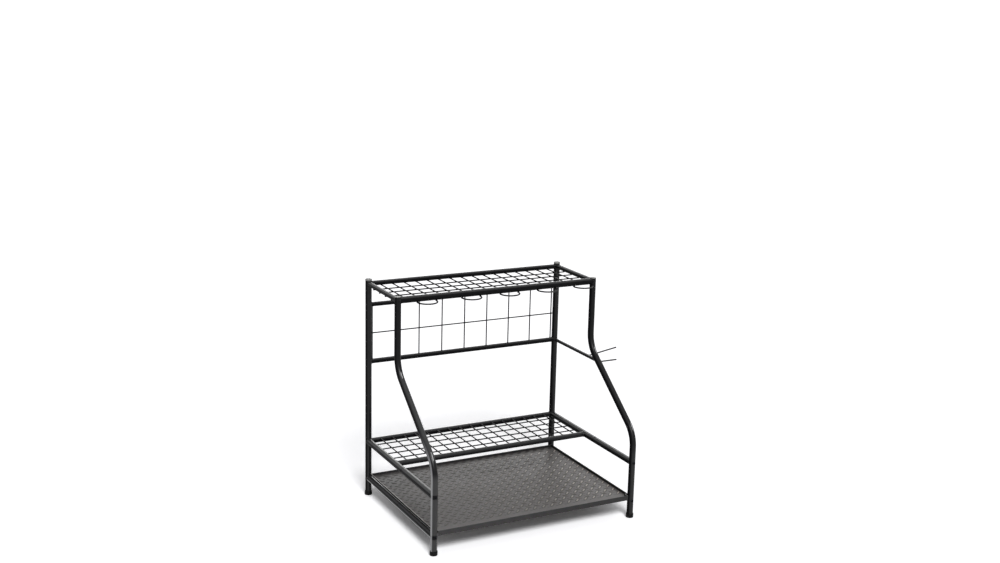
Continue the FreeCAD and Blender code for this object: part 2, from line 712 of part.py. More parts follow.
# Every object must be sound before any piece is written.
for item in doc.Objects:
    faults = [word for word in item.State if word in ("Invalid", "Error")]
    if faults:
        raise RuntimeError(f"{item.Name} is {faults}")
os.makedirs("parts", exist_ok=True)
for item in parts:
    if item.Shape.isNull() or not item.Shape.isValid() or not item.Shape.Solids:
        raise RuntimeError(f"{item.Label} has no valid shape")
    item.Shape.exportStep(f"parts/{item.Label}.step")
    box = item.Shape.BoundBox
    print(f"{item.Label} {len(item.Shape.Solids)} {item.Shape.Volume:.0f}"
          f" x {box.XMin:.1f} {box.XMax:.1f} y {box.YMin:.1f} {box.YMax:.1f} z {box.ZMin:.1f} {box.ZMax:.1f}")
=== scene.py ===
import math

import bmesh
import bpy
import numpy as np
from mathutils import Matrix, Vector


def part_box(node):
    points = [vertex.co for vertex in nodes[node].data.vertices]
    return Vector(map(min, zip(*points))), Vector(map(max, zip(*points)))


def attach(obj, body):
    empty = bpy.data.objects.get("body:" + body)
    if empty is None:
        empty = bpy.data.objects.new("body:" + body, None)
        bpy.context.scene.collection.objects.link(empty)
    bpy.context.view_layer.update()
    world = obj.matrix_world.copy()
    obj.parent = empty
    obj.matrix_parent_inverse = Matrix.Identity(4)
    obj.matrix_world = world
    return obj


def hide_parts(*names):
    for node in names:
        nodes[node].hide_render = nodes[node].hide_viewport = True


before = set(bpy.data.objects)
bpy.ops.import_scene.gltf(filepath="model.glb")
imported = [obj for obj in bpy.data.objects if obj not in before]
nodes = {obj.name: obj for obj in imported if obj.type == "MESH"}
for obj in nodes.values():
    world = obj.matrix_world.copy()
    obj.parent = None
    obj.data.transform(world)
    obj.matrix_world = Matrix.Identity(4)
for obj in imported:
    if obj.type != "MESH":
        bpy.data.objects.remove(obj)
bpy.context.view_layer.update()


# Tubes and rails. Drawn steel tube, cut to saddles and welded, then powder-coated before the halves of
# the rack are plugged and bolted together, so every tube has the same satin black skin. The solids of
# the frame keep their shape and get that skin here.
def linear(code):
    """Linear colour of an sRGB hex value: c / 12.92 up to 0.04045, else ((c + 0.055) / 1.055) ^ 2.4."""
    values = [int(code[start:start + 2], 16) / 255 for start in (1, 3, 5)]
    return [c / 12.92 if c <= 0.04045 else ((c + 0.055) / 1.055) ** 2.4 for c in values] + [1.0]


def add(tree, kind, inputs=None, stops=(), **settings):
    """Adds one node with its settings; an input is a value, or an output that is linked to it. Stops are
    the places and colours of a colour ramp."""
    made = tree.nodes.new(kind)
    for name, value in settings.items():
        setattr(made, name, value)
    for name, value in (inputs or {}).items():
        if isinstance(value, bpy.types.NodeSocket):
            tree.links.new(value, made.inputs[name])
        else:
            made.inputs[name].default_value = value
    for stop, (position, code) in enumerate(stops):
        made.color_ramp.elements[stop].position = position
        made.color_ramp.elements[stop].color = linear(code)
    return made


def start_material(name):
    """Empty node material, and the coordinates of the piece in metres."""
    material = bpy.data.materials.new(name)
    material.use_nodes = True
    material.node_tree.nodes.clear()
    place = add(material.node_tree, "ShaderNodeTexCoord").outputs["Object"]
    return material, material.node_tree, place


def dress(names, material):
    """Gives carried-over solids their material."""
    for name in names:
        slots = nodes[name].data.materials
        slots.clear()
        slots.append(material)


def paint_leg_sheen(tree, sheen, colour, height, aside):
    """Painted sheen and a painted highlight on the left front leg: a painted sheen all round below its bend
    that drops again within 10 mm of the axes of its side rails, and a pale painted highlight streak down
    its left side."""
    low_leg_sheen = add(tree, "ShaderNodeMapRange", {"Value": height, "From Min": 0.29, "From Max": 0.34,
                                              "To Min": 0.72, "To Max": 0.0},
                 interpolation_type="SMOOTHSTEP")
    sheen = add(tree, "ShaderNodeMath", {0: sheen, 1: low_leg_sheen.outputs["Result"]}, operation="MAXIMUM")
    for row in ("middle", "tray"):
        axis = sum(corner.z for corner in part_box(f"{row}_side_rail_rear_left")) / 2
        above = add(tree, "ShaderNodeMath", {0: height, 1: axis}, operation="SUBTRACT")
        gap = add(tree, "ShaderNodeMath", {0: above.outputs[0]}, operation="ABSOLUTE")
        dulled = add(tree, "ShaderNodeMapRange", {"Value": gap.outputs[0], "From Min": 0.006,
                                                  "From Max": 0.010, "To Min": 0.15, "To Max": 1.0},
                     interpolation_type="SMOOTHSTEP")
        sheen = add(tree, "ShaderNodeMath", {0: sheen.outputs[0], 1: dulled.outputs["Result"]},
                    operation="MULTIPLY")
    # A pale painted highlight streak down the left side of the leg.
    left_edge = add(tree, "ShaderNodeMapRange", {"Value": aside, "From Min": -0.97, "From Max": -0.88},
                    interpolation_type="SMOOTHSTEP")
    right_edge = add(tree, "ShaderNodeMapRange", {"Value": aside, "From Min": -0.60, "From Max": -0.20,
                                                  "To Min": 1.0, "To Max": 0.0},
                     interpolation_type="SMOOTHSTEP")
    fading = add(tree, "ShaderNodeMapRange", {"Value": height, "From Min": 0.33, "From Max": 0.46,
                                              "To Min": 1.0, "To Max": 0.0},
                 interpolation_type="SMOOTHSTEP")
    painted_streak = add(tree, "ShaderNodeMath", {0: left_edge.outputs["Result"], 1: right_edge.outputs["Result"]},
                 operation="MULTIPLY")
    painted_streak = add(tree, "ShaderNodeMath", {0: painted_streak.outputs[0], 1: fading.outputs["Result"]},
                 operation="MULTIPLY")
    colour = add(tree, "ShaderNodeMix", {0: painted_streak.outputs[0], 6: colour, 7: linear("#909093")},
                 data_type="RGBA")
    return sheen.outputs[0], colour.outputs[2]


def coat(name, band_top, top_sheen=0.5, band_above=0.75, painted_glint_facing=None, painted_leg_sheen=False, dust_and_floor_reflection="#9a9a9c"):
    """Polyester powder coat, baked on: even black with a fine orange peel of 1.8 mm, and slow swells of
    14 mm where the film runs thicker. Its sheen is painted by the way a surface faces: upper sides get a
    painted highlight of top_sheen, so a light line runs along the rails, and sides turned to the right get
    a painted band of sheen of band_top, band_above times that above the shelf. A bend gets a painted glint
    in its colour where its surface turns towards painted_glint_facing. Undersides near the floor get a pale
    painted reflection of the floor."""
    material, tree, place = start_material(name)
    swell = add(tree, "ShaderNodeTexNoise", {"Vector": place, "Scale": 1 / 0.014, "Detail": 2.0})
    peel = add(tree, "ShaderNodeTexNoise", {"Vector": place, "Scale": 1 / 0.0018, "Detail": 1.0})
    tint = add(tree, "ShaderNodeValToRGB", {"Fac": swell.outputs["Fac"]},
               stops=((0.3, "#08080a"), (0.7, "#0f0f11")))
    gloss = add(tree, "ShaderNodeMapRange", {"Value": swell.outputs["Fac"], "From Min": 0.3,
                                             "From Max": 0.7, "To Min": 0.30, "To Max": 0.40})
    waves = add(tree, "ShaderNodeBump", {"Height": swell.outputs["Fac"], "Strength": 0.25,
                                         "Distance": 0.0006})
    skin = add(tree, "ShaderNodeBump", {"Height": peel.outputs["Fac"], "Strength": 0.3, "Distance": 0.00012,
                                        "Normal": waves.outputs["Normal"]})

    # The painted band of sheen, by how far a side is turned to the right, and the painted highlight line on
    # upper sides.
    faces_to = add(tree, "ShaderNodeNewGeometry").outputs["Normal"]
    upward = add(tree, "ShaderNodeSeparateXYZ", {"Vector": faces_to}).outputs["Z"]
    height = add(tree, "ShaderNodeSeparateXYZ", {"Vector": place}).outputs["Z"]
    aside = add(tree, "ShaderNodeVectorMath", {0: faces_to, 1: (0.83, -0.56, 0.0)},
                operation="DOT_PRODUCT").outputs["Value"]
    lit = add(tree, "ShaderNodeMapRange", {"Value": aside, "From Min": -0.45, "From Max": 0.1,
                                           "To Min": 0.04, "To Max": band_top},
              interpolation_type="SMOOTHSTEP")
    higher = add(tree, "ShaderNodeMapRange", {"Value": height, "From Min": 0.25, "From Max": 0.33,
                                              "To Min": 1.0, "To Max": band_above},
                 interpolation_type="SMOOTHSTEP")
    band = add(tree, "ShaderNodeMath", {0: lit.outputs["Result"], 1: higher.outputs["Result"]},
               operation="MULTIPLY")
    top_highlight = add(tree, "ShaderNodeMapRange", {"Value": upward, "From Min": 0.3, "From Max": 0.8,
                                             "To Max": top_sheen}, interpolation_type="SMOOTHSTEP")
    sheen = add(tree, "ShaderNodeMath", {0: top_highlight.outputs["Result"], 1: band.outputs[0]},
                operation="MAXIMUM").outputs[0]

    # The painted glint, the painted sheen of the leg, and a painted reflection of the floor on undersides
    # that are less than 90 mm above the floor.
    colour = tint.outputs["Color"]
    # Painted highlight: the colour turns pale grey where a bend faces painted_glint_facing.
    if painted_glint_facing:
        turned = add(tree, "ShaderNodeVectorMath", {0: faces_to, 1: painted_glint_facing}, operation="DOT_PRODUCT")
        painted_glint_spot = add(tree, "ShaderNodeMapRange", {"Value": turned.outputs["Value"], "From Min": 0.985,
                                                "From Max": 0.996}, interpolation_type="SMOOTHSTEP")
        colour = add(tree, "ShaderNodeMix", {0: painted_glint_spot.outputs["Result"], 6: colour, 7: linear("#b0b0b2")},
                     data_type="RGBA").outputs[2]
    if painted_leg_sheen:
        sheen, colour = paint_leg_sheen(tree, sheen, colour, height, aside)
    # Painted reflection of the floor: undersides less than 90 mm up are mixed towards a pale grey.
    beneath = add(tree, "ShaderNodeMapRange", {"Value": upward, "From Min": 0.0, "From Max": -0.45,
                                               "To Max": 0.9}, interpolation_type="SMOOTHSTEP")
    low = add(tree, "ShaderNodeMath", {0: height, 1: 0.09}, operation="LESS_THAN")
    painted_floor_reflection = add(tree, "ShaderNodeMath", {0: beneath.outputs["Result"], 1: low.outputs[0]},
                operation="MULTIPLY")
    colour = add(tree, "ShaderNodeMix", {0: painted_floor_reflection.outputs[0], 6: colour, 7: linear(dust_and_floor_reflection)},
                 data_type="RGBA").outputs[2]

    paint = add(tree, "ShaderNodeBsdfPrincipled", {
        "Base Color": colour, "Roughness": gloss.outputs["Result"], "Specular IOR Level": sheen,
        "Normal": skin.outputs["Normal"], "IOR": 1.5})
    add(tree, "ShaderNodeOutputMaterial", {"Surface": paint.outputs["BSDF"]})
    return material


# The painted band of sheen is strongest on the tubes. On the rails that run across it is faint, a little
# stronger on the front rail of the shelf, and only the painted top line shows. On wire the painted sheen is
# kept low, so the grids read as plain black. The rails under the tray have little sheen too, with a pale
# painted reflection of the floor along the underside. The bent front tubes get a painted glint at the lower
# bend. The left one also gets the painted sheen and streak that paint_leg_sheen describes.
frame_coat = coat("satin_black_powder_coat", 0.42)
rail_coat = coat("satin_black_coat_on_rails", 0.1)
shelf_coat = coat("satin_black_coat_on_shelf_rail", 0.25)
wire_coat = coat("dull_black_coat_on_wire", 0.05, 0.05)
low_coat = coat("black_coat_with_painted_floor_reflection_on_tray_rails", 0.1, 0.2, dust_and_floor_reflection="#d8d8da")
bent_coat = coat("satin_black_coat_on_bent_tube", 0.42, 0.22, 0.4, (0.27, -0.73, 0.63))
leg_coat = coat("black_coat_with_painted_sheen_on_leg", 0.2, 0.5, 0.9, (0.05, -0.73, 0.68), painted_leg_sheen=True)

other_finish = ("foot_", "rear_upright_cap", "front_tube_plug", "leg_bolts", "_inserts")
coated = [name for name in nodes if name != "tray" and not any(word in name for word in other_finish)]
wires = [name for name in coated if "wire" in name]
rails = ["top_front_rail", "top_rear_rail", "second_rear_rail", "third_rear_rail", "shelf_front_rail",
         "shelf_rear_rail"]
dress([name for name in coated if name not in wires + rails], frame_coat)
dress(["front_tube_right"], bent_coat)
dress([name for name in coated if "tray_side_rail" in name], low_coat)
dress(["front_tube_left"], leg_coat)
dress(rails, rail_coat)
dress(["shelf_front_rail"], shelf_coat)
dress(wires, wire_coat)


# Weld beads at the rail ends. Each rail is welded to its tube all round the saddle; the coat covers
# the bead, which keeps the small even ripples of the torch.
def place_of(node, axis, radius):
    """Coordinate of the middle line of a round bar, from the low side of its box."""
    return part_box(node)[0][axis] + radius


# Radii of the tubes and rails. A rail as thick as its tube is welded as if it were a hair thinner, so
# that the seam keeps to one side of the tube.
TUBE = 0.013
THICK_RAIL = TUBE - 0.0002
RAIL = 0.010
SHELF_RAIL = 0.011
SECOND_RAIL = 0.009
TRAY_RAIL = 0.011

# Places of their axes: across the rack, front to back, and up.
LEFT = place_of("rear_upright_left", 0, TUBE)
RIGHT = place_of("rear_upright_right", 0, TUBE)
REAR = place_of("rear_upright_left", 1, TUBE)
TOP_FRONT = place_of("top_front_rail", 1, TUBE)
SHELF_FRONT = place_of("shelf_front_rail", 1, SHELF_RAIL)
TOP = place_of("top_front_rail", 2, TUBE)
SECOND = place_of("second_rear_rail", 2, SECOND_RAIL)
THIRD = place_of("third_rear_rail", 2, RAIL)
SHELF = place_of("shelf_rear_rail", 2, SHELF_RAIL)
TRAY_RAILS = place_of("tray_side_rail_rear_left", 2, TRAY_RAIL)


def quads(grids, wrap_rows=True, wrap_columns=True):
    """Points and faces of one or more grids (grid, row, column, xyz): a quad between each four neighbours.
    A grid that wraps is joined from its last row or column back to its first."""
    grids = np.asarray(grids, float)
    count, rows, columns = grids.shape[:3]
    start = (np.arange(count) * rows * columns)[:, None, None]
    row = np.arange(rows if wrap_rows else rows - 1)[None, :, None]
    column = np.arange(columns if wrap_columns else columns - 1)[None, None, :]
    next_row = (row + 1) % rows
    next_column = (column + 1) % columns
    corners = np.broadcast_arrays(start + row * columns + column, start + next_row * columns + column,
                                  start + next_row * columns + next_column,
                                  start + row * columns + next_column)
    return grids.reshape(-1, 3), np.stack(corners, axis=-1).reshape(-1, 4).tolist()


def make_piece(name, points, faces, materials, shades=None):
    """Smooth mesh piece with its faces outwards; equal points are merged, edges over 40 degrees stay sharp.
    Shades gives the material slot of each face."""
    mesh = bpy.data.meshes.new(name)
    mesh.from_pydata(np.asarray(points).tolist(), [], faces)
    if shades is not None:
        mesh.polygons.foreach_set("material_index", shades)
    shape = bmesh.new()
    shape.from_mesh(mesh)
    bmesh.ops.remove_doubles(shape, verts=shape.verts, dist=2e-6)
    bmesh.ops.recalc_face_normals(shape, faces=shape.faces)
    shape.to_mesh(mesh)
    shape.free()
    mesh.shade_smooth()
    mesh.set_sharp_from_angle(angle=math.radians(40))
    for material in materials:
        mesh.materials.append(material)
    piece = bpy.data.objects.new(name, mesh)
    bpy.context.scene.collection.objects.link(piece)
    return piece


def fit(piece, slot, *replaced):
    """The piece rides on the rack and stands for the solids it replaces. slot is not used."""
    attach(piece, "root")
    if replaced:
        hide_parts(*replaced)


def weld_beads(name, joints):
    """Beads round rail ends. A joint is (point where the axes meet, rail direction, tube direction, rail
    radius, tube radius). The seam is where the line of the rail surface at angle t leaves the tube: with
    q the offset of that line, d the rail and a the tube, its distance L along d solves
    |q + L d|^2 - ((q + L d) . a)^2 = R^2. The bead is a ring of radius 1.7 mm with 24 ripples round it."""
    bead_radius = 0.0017
    ripple = 0.14
    ripples = 24
    point, rail, tube = (np.array([joint[k] for joint in joints], float)[:, None, None] for k in range(3))
    radius, reach = (np.array([joint[k] for joint in joints])[:, None, None, None] for k in (3, 4))
    turn = np.linspace(0, 2 * math.pi, 72, endpoint=False)[None, :, None, None]
    around = np.linspace(0, 2 * math.pi, 8, endpoint=False)[None, None, :, None]

    def dot(a, b):
        return (a * b).sum(-1, keepdims=True)

    side = np.cross(rail, tube)
    side = side / np.sqrt(dot(side, side))
    up = np.cross(side, rail)
    outward = np.cos(turn) * side + np.sin(turn) * up
    offset = radius * outward
    slant = 1 - dot(rail, tube) ** 2
    middle = dot(offset, rail) - dot(offset, tube) * dot(rail, tube)
    rest = dot(offset, offset) - dot(offset, tube) ** 2 - reach ** 2
    length = (-middle + np.sqrt(np.maximum(middle ** 2 - slant * rest, 0))) / slant
    seam = point + offset + length * rail
    bead = bead_radius * (1 + ripple * np.sin(ripples * turn))
    surface = seam + bead * (np.cos(around) * outward + np.sin(around) * rail)
    points, faces = quads(surface)
    fit(make_piece(name, points, faces, [frame_coat]), "frame_paint")


EAST = (1, 0, 0)
WEST = (-1, 0, 0)
BACK = (0, 1, 0)
AHEAD = (0, -1, 0)
UP = (0, 0, 1)
sides = (LEFT, RIGHT)


def across(depth, height, radius):
    """Two joints of a rail that runs across the rack between the left and right tubes."""
    return [((LEFT, depth, height), EAST, UP, radius, TUBE),
            ((RIGHT, depth, height), WEST, UP, radius, TUBE)]


weld_beads("top_frame_welds", across(TOP_FRONT, TOP, THICK_RAIL) + across(REAR, TOP, RAIL)
           + [((side, TOP_FRONT, TOP), BACK, UP, RAIL, TUBE) for side in sides]
           + [((side, REAR, TOP), AHEAD, UP, RAIL, TUBE) for side in sides])
weld_beads("back_rail_welds", across(REAR, SECOND, SECOND_RAIL) + across(REAR, THIRD, RAIL)
           + across(REAR, SHELF, SHELF_RAIL))
weld_beads("shelf_front_rail_welds", [((LEFT, SHELF_FRONT, SHELF), EAST, BACK, SHELF_RAIL, TUBE),
                                      ((RIGHT, SHELF_FRONT, SHELF), WEST, BACK, SHELF_RAIL, TUBE)])
weld_beads("side_rail_welds", [((side, REAR, SHELF), AHEAD, UP, THICK_RAIL, TUBE) for side in sides]
           + [((side, REAR, TRAY_RAILS), AHEAD, UP, TRAY_RAIL, TUBE) for side in sides])


# Side hooks and their rail, on the right side only. The rail is welded between the leaning tube and
# the upright, and the hooks are bent wire welded to the rail and to the tube.
HOOK_RAIL = 0.007
HOOK_WIRE = 0.003
HOOK_REACH = 0.140
HOOK_RISE = 0.022
FRONT_HOOK = 0.284
REAR_HOOK = 0.370
LOW_BEND = 0.351
HIGH_BEND = 0.626
FRONT = place_of("front_tube_left", 1, TUBE)
lean_run = TOP_FRONT - FRONT
lean_rise = HIGH_BEND - LOW_BEND
lean = tuple(np.array([0, lean_run, lean_rise]) / math.hypot(lean_run, lean_rise))
rail_meets_tube = (RIGHT, FRONT + (THIRD - LOW_BEND) / lean_rise * lean_run, THIRD)
weld_beads("side_hook_rail_welds", [(rail_meets_tube, BACK, lean, HOOK_RAIL, TUBE),
                                    ((RIGHT, REAR, THIRD), AHEAD, UP, HOOK_RAIL, TUBE)])
tilt = tuple(np.array([HOOK_REACH, 0, HOOK_RISE]) / math.hypot(HOOK_REACH, HOOK_RISE))
hook_on_tube = (RIGHT, FRONT + FRONT_HOOK, LOW_BEND + lean_rise * FRONT_HOOK / lean_run)
weld_beads("side_hook_welds", [((RIGHT, FRONT + REAR_HOOK, THIRD), tilt, BACK, HOOK_WIRE, HOOK_RAIL),
                               (hook_on_tube, EAST, lean, HOOK_WIRE, TUBE)])


# Resistance welds of the grids and the back panel. Wire of 5 mm is laid crosswise and pressed together
# hot, so each crossing has a small flattened nugget. The short wires of a grid and the upright wires of
# the panel have one at each end too, on their rails.
WIRE = 0.0025


def nuggets(name, centres, size):
    """Small ellipsoids: at turn t and height angle h, x = a cos h cos t, y = b cos h sin t, z = c sin h."""
    turn = np.linspace(0, 2 * math.pi, 8, endpoint=False)[:, None]
    height = np.linspace(-math.pi / 2, math.pi / 2, 6)[None, :]
    ball = np.stack([np.cos(height) * np.cos(turn) * size[0], np.cos(height) * np.sin(turn) * size[1],
                     np.sin(height) * size[2] + 0 * turn], axis=-1)
    points, faces = quads(np.asarray(centres, float)[:, None, None, :] + ball[None], True, False)
    fit(make_piece(name, points, faces, [wire_coat]), "frame_paint")


def crossings(xs, ys, zs):
    """All points of a lattice of coordinates."""
    return np.stack(np.meshgrid(xs, ys, zs, indexing="ij"), axis=-1).reshape(-1, 3)


# Each grid has 17 columns and 5 rows of cells. The long wires of the upper one run under its side rails,
# those of the lower one 1 mm above the axes of its rails. The short wires lie on the long ones and end at
# the front and rear rails, each in a nugget that is 0.93 of the rail's radius from its axis. The panel has
# 9 upright wires.
COLUMNS = 17
ROWS = 5
GRID_RISE = 0.001
ON_RAIL = 0.93
CROSSING_NUGGET = (0.0032, 0.0032, 0.0017)
END_NUGGET = (0.0034, 0.0028, 0.0033)
PANEL_NUGGET = (0.0033, 0.0025, 0.0028)
PANEL_WIRES = 9
PANEL_MARGIN = 0.016
PANEL_PITCH = 0.1037
columns = LEFT + np.arange(1, COLUMNS) * (RIGHT - LEFT) / COLUMNS
for name, first, long_wire, near, far in (
    ("top_grid", TOP_FRONT, TOP - RAIL - WIRE, TUBE, RAIL),
    ("shelf_grid", SHELF_FRONT, SHELF + GRID_RISE, SHELF_RAIL, SHELF_RAIL),
):
    rows = first + np.arange(1, ROWS) * (REAR - first) / ROWS
    nuggets(f"{name}_crossing_welds", crossings(columns, rows, [long_wire + WIRE]), CROSSING_NUGGET)
    ends = np.concatenate([crossings(columns, [first + near * ON_RAIL], [long_wire + 2 * WIRE]),
                           crossings(columns, [REAR - far * ON_RAIL], [long_wire + 2 * WIRE])])
    nuggets(f"{name}_end_welds", ends, END_NUGGET)
wire_xs = LEFT + PANEL_MARGIN + np.arange(PANEL_WIRES) * PANEL_PITCH
wire_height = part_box("back_panel_cross_wire")[0].z + WIRE
nuggets("back_panel_welds", np.concatenate([
    crossings(wire_xs, [REAR - WIRE], [wire_height]),
    crossings(wire_xs, [REAR], [SECOND - SECOND_RAIL, THIRD + RAIL]),
]), PANEL_NUGGET)


# Tool loops under the top front rail. Each bow of wire is laid against the underside of the rail and
# fixed at both ends with a short flat fillet of weld. The last fillet would lie inside the right front
# tube, so it is left out.
LOOP_HALF = 0.040
LOOP_PITCH = 0.169
FIRST_LOOP = LEFT + 0.121
LAST_LOOP = RIGHT - 0.050
FILLET = (0.0044, 0.0065, 0.002)
fillet_depth = TOP_FRONT - 0.001
fillet_height = TOP - TUBE - 0.0008
bows = [FIRST_LOOP] + [LAST_LOOP - step * LOOP_PITCH for step in (3, 2, 1, 0)]
ends = np.array([middle + side for middle in bows for side in (-LOOP_HALF, LOOP_HALF)])[:-1]
nuggets("tool_loop_welds", crossings(ends, [fillet_depth], [fillet_height]), FILLET)


# Tray. A pan of tread plate folded from 1.5 mm steel sheet, which rests on the side rails. Its edges
# stand up as a rim with a narrow hem, notched round the front legs, and the front edge comes down as a
# flange. The raised lugs of the plate are rolled in and stand 1.3 mm proud.
SHEET = 0.0015
LUG_LENGTH = 0.031
LUG_WIDTH = 0.008
LUG_PITCH = (0.0384, 0.0402)
LUG_START = (LEFT + 0.5783, FRONT + 0.0583)
LUG_SETS = ((0.0, 1), (0.5, -1))  # each set's shift, as a share of the pitch, and the way it leans
pan_low, pan_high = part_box("tray")
pan_floor = TRAY_RAILS + TRAY_RAIL
notch = TUBE + 0.0015
plan = np.array([
    (LEFT + notch, pan_low.y), (RIGHT - notch, pan_low.y), (RIGHT - notch, FRONT + notch),
    (pan_high.x, FRONT + notch), (pan_high.x, pan_high.y), (pan_low.x, pan_high.y),
    (pan_low.x, FRONT + notch), (LEFT + notch, FRONT + notch),
])


def lug_ring(tree, place, shift, lean):
    """Distance to the nearest lug of a set, 1 on an ellipse of 35 by 13 mm round it. With c = (p - start) /
    pitch, the place from the middle of the lug is (c - floor(c + 1/2)) pitch; it is turned to the lug and
    divided by the half axes, and its length is the distance."""
    half_axes = (0.0175, 0.0065, 1)
    start = (LUG_START[0] + shift * LUG_PITCH[0], LUG_START[1] + shift * LUG_PITCH[1], 0)
    moved = add(tree, "ShaderNodeVectorMath", {0: place, 1: start}, operation="SUBTRACT")
    cells = add(tree, "ShaderNodeVectorMath", {0: moved.outputs[0], 1: LUG_PITCH + (1,)},
                operation="DIVIDE")
    half_up = add(tree, "ShaderNodeVectorMath", {0: cells.outputs[0], 1: (0.5, 0.5, 0.5)}, operation="ADD")
    whole = add(tree, "ShaderNodeVectorMath", {0: half_up.outputs[0]}, operation="FLOOR")
    part = add(tree, "ShaderNodeVectorMath", {0: cells.outputs[0], 1: whole.outputs[0]},
               operation="SUBTRACT")
    local = add(tree, "ShaderNodeVectorMath", {0: part.outputs[0], 1: LUG_PITCH + (0,)},
                operation="MULTIPLY")
    turned = add(tree, "ShaderNodeVectorRotate", {"Vector": local.outputs[0],
                                                  "Angle": -lean * math.pi / 4}, rotation_type="Z_AXIS")
    scaled = add(tree, "ShaderNodeVectorMath", {0: turned.outputs[0], 1: half_axes}, operation="DIVIDE")
    return add(tree, "ShaderNodeVectorMath", {0: scaled.outputs[0]}, operation="LENGTH").outputs["Value"]


# Powder coat over rolled plate: a dull warm grey, uneven where it has been walked on. Fine grit of 2 mm,
# a mottle of 7 mm and blotches of 90 mm.
plate_coat, tree, place = start_material("warm_grey_coated_tread_plate")
blotch = add(tree, "ShaderNodeTexNoise", {"Vector": place, "Scale": 1 / 0.09, "Detail": 4.0})
grit = add(tree, "ShaderNodeTexNoise", {"Vector": place, "Scale": 1 / 0.002, "Detail": 2.0})
mottle = add(tree, "ShaderNodeTexNoise", {"Vector": place, "Scale": 1 / 0.007, "Detail": 2.0})
cloudy = add(tree, "ShaderNodeMix", {0: 0.45, 2: blotch.outputs["Fac"], 3: mottle.outputs["Fac"]})
tint = add(tree, "ShaderNodeValToRGB", {"Fac": cloudy.outputs[0]},
           stops=((0.32, "#555353"), (0.68, "#615e5c")))
where = add(tree, "ShaderNodeSeparateXYZ", {"Vector": place})
wear_start = LEFT + 0.1
wear_end = RIGHT - 0.1
plain_strip = FRONT + 0.041
lug_rings = [lug_ring(tree, place, shift, lean) for shift, lean in LUG_SETS]

# A dark ring round the foot of each lug is painted shadow of the lug and dirt; it is weaker round the
# second set and left off the plain strip along the front. It grows towards the right.
ring_strength = add(tree, "ShaderNodeMapRange", {"Value": where.outputs["X"], "From Min": wear_start,
                                         "From Max": wear_end, "To Min": 0.36, "To Max": 0.8})
weaker_second_ring = add(tree, "ShaderNodeMath", {0: lug_rings[1], 1: 0.4}, operation="ADD")
closest = add(tree, "ShaderNodeMath", {0: lug_rings[0], 1: weaker_second_ring.outputs[0]}, operation="MINIMUM")
ring = add(tree, "ShaderNodeMapRange", {"Value": closest.outputs[0], "From Min": 0.8, "From Max": 1.45,
                                        "To Min": 1.0, "To Max": 0.0}, interpolation_type="SMOOTHSTEP")
dirt_and_shadow = add(tree, "ShaderNodeMath", {0: ring.outputs["Result"], 1: ring_strength.outputs["Result"]},
           operation="MULTIPLY")
patterned = add(tree, "ShaderNodeMath", {0: where.outputs["Y"], 1: plain_strip},
                operation="GREATER_THAN")
dirt_and_shadow = add(tree, "ShaderNodeMath", {0: dirt_and_shadow.outputs[0], 1: patterned.outputs[0]}, operation="MULTIPLY")
ringed = add(tree, "ShaderNodeMix", {0: dirt_and_shadow.outputs[0], 6: tint.outputs["Color"],
                                     7: linear("#262422")}, data_type="RGBA")

# The tops of the lugs are worn lighter and get a painted highlight, full on the first set, which lies
# across the light, and less on the second. Both grow towards the right.
growing_right = add(tree, "ShaderNodeMapRange", {"Value": where.outputs["X"], "From Min": wear_start,
                                          "From Max": wear_end, "To Min": 0.06, "To Max": 0.9})
crests = add(tree, "ShaderNodeMapRange", {
    "Value": where.outputs["Z"], "From Min": pan_floor + SHEET + 0.0003,
    "From Max": pan_floor + SHEET + 0.0011, "To Max": 0.95})
first_set = add(tree, "ShaderNodeMath", {0: lug_rings[0], 1: lug_rings[1]}, operation="LESS_THAN")
set_highlight = add(tree, "ShaderNodeMapRange", {"Value": first_set.outputs[0], "To Min": 0.3, "To Max": 1.0})
wear_and_highlight = add(tree, "ShaderNodeMath", {0: crests.outputs["Result"], 1: growing_right.outputs["Result"]},
           operation="MULTIPLY")
wear_and_highlight = add(tree, "ShaderNodeMath", {0: wear_and_highlight.outputs[0], 1: set_highlight.outputs["Result"]},
           operation="MULTIPLY")
crests_tinted = add(tree, "ShaderNodeMix", {0: wear_and_highlight.outputs[0], 6: ringed.outputs[2],
                                     7: linear("#a8a099")}, data_type="RGBA")

# The fold at the left edge gets a pale painted highlight, and the whole plate gets a little painted shade
# towards the left.
fold = add(tree, "ShaderNodeMapRange", {"Value": where.outputs["X"], "From Min": pan_low.x + 0.004,
                                        "From Max": pan_low.x + 0.014, "To Min": 0.8, "To Max": 0.0})
folded = add(tree, "ShaderNodeMix", {0: fold.outputs["Result"], 6: crests_tinted.outputs[2],
                                     7: linear("#8a8582")}, data_type="RGBA")
paler = add(tree, "ShaderNodeMapRange", {"Value": where.outputs["X"], "From Min": LEFT, "From Max": RIGHT,
                                         "To Min": 0.8, "To Max": 0.88})
shaded = add(tree, "ShaderNodeVectorMath", {0: folded.outputs[2], "Scale": paler.outputs["Result"]},
             operation="SCALE")
gloss = add(tree, "ShaderNodeMapRange", {"Value": blotch.outputs["Fac"], "To Min": 0.42, "To Max": 0.58})
skin = add(tree, "ShaderNodeBump", {"Height": grit.outputs["Fac"], "Strength": 0.35, "Distance": 0.00015})
paint = add(tree, "ShaderNodeBsdfPrincipled", {"Base Color": shaded.outputs[0],
                                               "Roughness": gloss.outputs["Result"],
                                               "Specular IOR Level": 0.22,
                                               "Normal": skin.outputs["Normal"], "IOR": 1.5})
add(tree, "ShaderNodeOutputMaterial", {"Surface": paint.outputs["BSDF"]})

